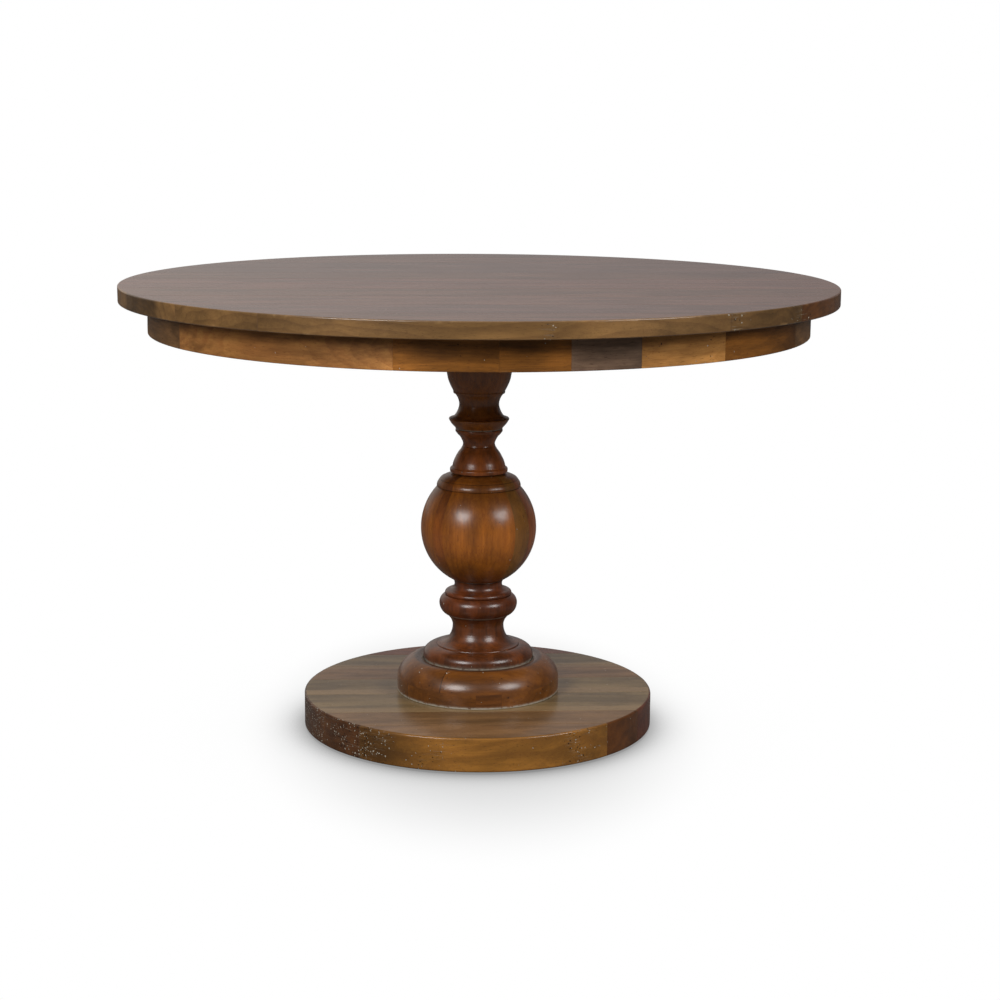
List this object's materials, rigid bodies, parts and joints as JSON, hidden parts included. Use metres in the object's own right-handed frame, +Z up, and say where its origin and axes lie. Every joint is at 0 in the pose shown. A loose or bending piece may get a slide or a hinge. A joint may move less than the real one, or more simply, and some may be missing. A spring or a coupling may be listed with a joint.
{
  "type": "round pedestal table",
  "caption": "Round wooden table with a boarded top on a segmented apron, a turned ball column and a round boarded base.",
  "frame": {"origin": "on the floor under the middle of the table", "axes": "+Z up, the boards of the top and base run along X, front at -Y"},
  "size_m": [1.2, 1.1999, 0.765],
  "materials": {
    "top_wood": "satin lacquer, brown with a grey sheen",
    "apron_wood": "satin lacquer, mixed brown and golden segments",
    "base_wood": "satin lacquer, mixed brown boards with pale sapwood",
    "turned_wood": "gloss lacquer, orange brown",
    "red_turned_wood": "gloss lacquer, deep red brown",
    "pale_wood": "plain sawn and sanded",
    "steel": "bright mild steel",
    "zinc_plate": "zinc plated",
    "nylon": "matt black nylon"
  },
  "bodies": {
    "root": {"top_board_1": "top_wood", "top_board_2": "top_wood", "top_board_3": "top_wood", "top_board_4": "top_wood", "top_board_5": "top_wood", "top_board_6": "top_wood", "top_board_7": "top_wood", "top_board_8": "top_wood", "top_board_9": "top_wood", "top_board_10": "top_wood", "top_board_11": "top_wood", "apron_segment_1": "apron_wood", "apron_segment_2": "apron_wood", "apron_segment_3": "apron_wood", "apron_segment_4": "apron_wood", "apron_segment_5": "apron_wood", "apron_segment_6": "apron_wood", "apron_segment_7": "apron_wood", "apron_segment_8": "apron_wood", "apron_segment_9": "apron_wood", "apron_segment_10": "apron_wood", "apron_segment_11": "apron_wood", "apron_segment_12": "apron_wood", "apron_segment_13": "apron_wood", "apron_segment_14": "apron_wood", "apron_segment_15": "apron_wood", "base_board_1": "base_wood", "base_board_2": "base_wood", "base_board_3": "base_wood", "base_board_4": "base_wood", "base_board_5": "base_wood", "base_board_6": "base_wood", "base_board_7": "base_wood", "column_capital": "turned_wood", "column_ball": "turned_wood", "column_plinth": "turned_wood", "column_neck": "red_turned_wood", "column_collar": "red_turned_wood", "column_foot": "red_turned_wood", "apron_blocks": "pale_wood", "batten_left": "pale_wood", "batten_right": "pale_wood", "mounting_cleat": "pale_wood", "base_dowels": "pale_wood", "mounting_plate": "steel", "plate_bolts": "steel", "tie_rod": "steel", "rod_top_washer": "steel", "rod_top_nut": "steel", "rod_base_washer": "steel", "rod_base_nut": "steel", "apron_screws": "zinc_plate", "batten_screws": "zinc_plate", "cleat_screws": "zinc_plate", "threaded_inserts": "zinc_plate", "plate_wood_screws": "zinc_plate", "plinth_screws": "zinc_plate", "glide_nails": "zinc_plate", "glides": "nylon"}
  },
  "joints": []
}
